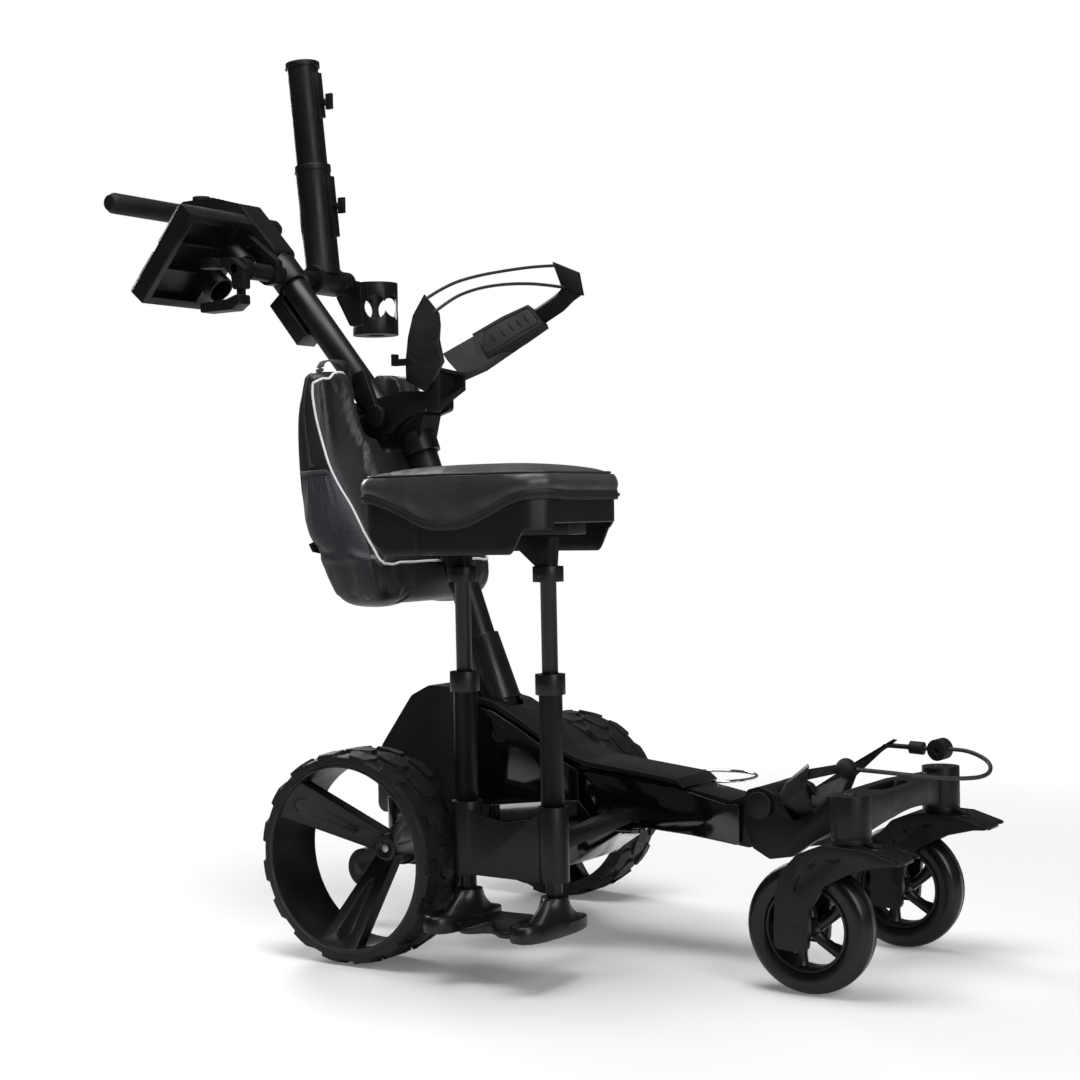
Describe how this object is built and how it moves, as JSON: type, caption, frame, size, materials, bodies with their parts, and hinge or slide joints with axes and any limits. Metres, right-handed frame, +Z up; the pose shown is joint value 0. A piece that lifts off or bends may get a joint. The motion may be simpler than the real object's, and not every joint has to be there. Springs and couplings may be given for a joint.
{
  "type": "electric golf trolley",
  "caption": "Folding electric golf trolley with driven rear wheels, swivelling front casters, side seat, cooler bag, console, umbrella and drinks holders.",
  "frame": {"origin": "on the ground, under the middle of the rear axle", "axes": "+X forward towards the casters, +Y to the left across the trolley, +Z up"},
  "size_m": [1.3827, 0.7454, 1.4049],
  "materials": {
    "tyre_rubber": "moulded rubber",
    "rim_plastic": "satin glass-filled nylon",
    "frame_metal": "satin black powder coat",
    "gloss_black": "gloss lacquer",
    "textured_plastic": "fine textured",
    "bare_steel": "turned",
    "chrome_wire": "polished",
    "soft_rubber": "matte",
    "bag_fabric": "coated polyester",
    "seat_vinyl": "grained vinyl over foam",
    "elastic_cord": "braided cover",
    "clear_lid": "clear polycarbonate",
    "battery_case": "moulded"
  },
  "bodies": {
    "chassis": {"axle_housing": "frame_metal", "drive_units": "battery_case", "battery_pack": "battery_case", "chassis_tray": "gloss_black", "rear_cover": "textured_plastic", "side_panels": "gloss_black", "spine_cover": "textured_plastic", "main_beam": "gloss_black", "hinge_pins": "frame_metal", "column_socket": "textured_plastic", "lower_column": "frame_metal", "hinge_bracket": "textured_plastic", "cradle_arm_right": "textured_plastic", "cradle_arm_left": "textured_plastic", "cradle_strap": "soft_rubber", "cradle_cord": "elastic_cord", "cooler_bag": "bag_fabric", "bottle_ring": "chrome_wire", "seat_bracket": "textured_plastic", "seat_outer_tubes": "frame_metal"},
    "rear_wheel_right": {"rear_tyre_right": "tyre_rubber", "rear_rim_right": "rim_plastic", "axle_shaft_right": "bare_steel"},
    "tip_wheel_right": {"anti_tip_wheel_right": "tyre_rubber"},
    "caster_right": {"caster_fork_right": "textured_plastic"},
    "caster_roller_right": {"caster_wheel_right": "tyre_rubber"},
    "swivel_lock_right": {"lock_peg_right": "textured_plastic"},
    "rear_wheel_left": {"rear_tyre_left": "tyre_rubber", "rear_rim_left": "rim_plastic", "axle_shaft_left": "bare_steel"},
    "tip_wheel_left": {"anti_tip_wheel_left": "tyre_rubber"},
    "caster_left": {"caster_fork_left": "textured_plastic"},
    "caster_roller_left": {"caster_wheel_left": "tyre_rubber"},
    "swivel_lock_left": {"lock_peg_left": "textured_plastic"},
    "front_frame": {"front_yoke": "textured_plastic", "caster_bridge": "textured_plastic", "lower_cradle": "textured_plastic", "lower_strap": "soft_rubber", "lower_bungee": "elastic_cord"},
    "handle": {"upper_tube": "frame_metal", "tube_fittings": "textured_plastic", "console": "textured_plastic", "handlebar": "textured_plastic", "accessory_tube": "frame_metal", "scorecard_tray": "textured_plastic"},
    "latch": {"latch_lever": "textured_plastic"},
    "dial": {"speed_dial": "textured_plastic"},
    "button": {"power_button": "textured_plastic"},
    "card_lid": {"scorecard_lid": "clear_lid"},
    "phone_holder": {"gps_holder": "textured_plastic"},
    "phone_jaw": {"gps_jaw": "textured_plastic"},
    "umbrella_lower": {"umbrella_base": "textured_plastic"},
    "umbrella_upper": {"umbrella_stage": "textured_plastic"},
    "screw_lower": {"thumb_screw_lower": "textured_plastic"},
    "screw_upper": {"thumb_screw_upper": "textured_plastic"},
    "drinks": {"drink_holder": "textured_plastic"},
    "seat": {"seat_posts": "frame_metal", "seat_feet": "textured_plastic", "seat_shell": "textured_plastic", "seat_cushion": "seat_vinyl"}
  },
  "joints": [
    {"name": "rear_wheel_right_spin", "type": "hinge", "parent": "chassis", "child": "rear_wheel_right", "pos_m": [0, 0, 0.152], "axis": [0, 1, 0], "continuous": true},
    {"name": "tip_wheel_right_spin", "type": "hinge", "parent": "chassis", "child": "tip_wheel_right", "pos_m": [-0.131, 0, 0.094], "axis": [0, 1, 0], "continuous": true},
    {"name": "rear_wheel_left_spin", "type": "hinge", "parent": "chassis", "child": "rear_wheel_left", "pos_m": [0, 0, 0.152], "axis": [0, 1, 0], "continuous": true},
    {"name": "tip_wheel_left_spin", "type": "hinge", "parent": "chassis", "child": "tip_wheel_left", "pos_m": [-0.131, 0, 0.094], "axis": [0, 1, 0], "continuous": true},
    {"name": "front_fold", "type": "hinge", "parent": "chassis", "child": "front_frame", "pos_m": [0.528, 0, 0.226], "axis": [0, 1, 0], "range_deg": [0, 65]},
    {"name": "caster_right_swivel", "type": "hinge", "parent": "front_frame", "child": "caster_right", "pos_m": [0.705, -0.1565, 0.2], "axis": [0, 0, 1], "continuous": true},
    {"name": "caster_right_spin", "type": "hinge", "parent": "caster_right", "child": "caster_roller_right", "pos_m": [0.647, -0.1565, 0.0875], "axis": [0, 1, 0], "continuous": true},
    {"name": "swivel_lock_right_lift", "type": "slide", "parent": "caster_right", "child": "swivel_lock_right", "axis": [0, 0, 1], "range_m": [0, 0.008]},
    {"name": "caster_left_swivel", "type": "hinge", "parent": "front_frame", "child": "caster_left", "pos_m": [0.705, 0.1565, 0.2], "axis": [0, 0, 1], "continuous": true},
    {"name": "caster_left_spin", "type": "hinge", "parent": "caster_left", "child": "caster_roller_left", "pos_m": [0.647, 0.1565, 0.0875], "axis": [0, 1, 0], "continuous": true},
    {"name": "swivel_lock_left_lift", "type": "slide", "parent": "caster_left", "child": "swivel_lock_left", "axis": [0, 0, 1], "range_m": [0, 0.008]},
    {"name": "handle_fold", "type": "hinge", "parent": "chassis", "child": "handle", "pos_m": [-0.14, 0, 0.792], "axis": [0, 1, 0], "range_deg": [0, 60]},
    {"name": "latch_turn", "type": "hinge", "parent": "chassis", "child": "latch", "pos_m": [-0.14, 0, 0.792], "axis": [0, 1, 0], "range_deg": [0, 40]},
    {"name": "dial_turn", "type": "hinge", "parent": "handle", "child": "dial", "pos_m": [-0.535, 0, 1.17], "axis": [0, 0, 1], "range_deg": [0, 270]},
    {"name": "button_press", "type": "slide", "parent": "handle", "child": "button", "axis": [0, 0, 1], "range_m": [-0.002, 0], "stiffness_N_per_m": 400, "springref_m": 0.002},
    {"name": "card_lid_open", "type": "hinge", "parent": "handle", "child": "card_lid", "pos_m": [-0.40832, -0.109, 1.13488], "axis": [0, 1, 0], "range_deg": [0, 40]},
    {"name": "phone_tilt", "type": "hinge", "parent": "handle", "child": "phone_holder", "pos_m": [-0.345, -0.12, 1.033], "axis": [0, 1, 0], "range_deg": [-20, 20]},
    {"name": "phone_jaw_open", "type": "slide", "parent": "phone_holder", "child": "phone_jaw", "axis": [0, 0, 1], "range_m": [-0.02, 0]},
    {"name": "umbrella_tilt", "type": "hinge", "parent": "handle", "child": "umbrella_lower", "pos_m": [-0.345, 0.088, 1.033], "axis": [0, 1, 0], "range_deg": [-30, 30]},
    {"name": "umbrella_slide", "type": "slide", "parent": "umbrella_lower", "child": "umbrella_upper", "axis": [-0.0993, 0, 0.9951], "range_m": [-0.07, 0]},
    {"name": "screw_lower_turn", "type": "hinge", "parent": "umbrella_lower", "child": "screw_lower", "pos_m": [-0.35728, 0.088, 1.156], "axis": [1, 0, 0], "continuous": true},
    {"name": "screw_upper_turn", "type": "hinge", "parent": "umbrella_upper", "child": "screw_upper", "pos_m": [-0.37484, 0.088, 1.332], "axis": [1, 0, 0], "continuous": true},
    {"name": "drinks_tilt", "type": "hinge", "parent": "handle", "child": "drinks", "pos_m": [-0.345, 0.14, 1.033], "axis": [0, 1, 0], "range_deg": [-35, 35]},
    {"name": "seat_sit", "type": "slide", "parent": "chassis", "child": "seat", "axis": [0, 0, 1], "range_m": [-0.066, 0], "stiffness_N_per_m": 2500, "springref_m": 0.05}
  ]
}
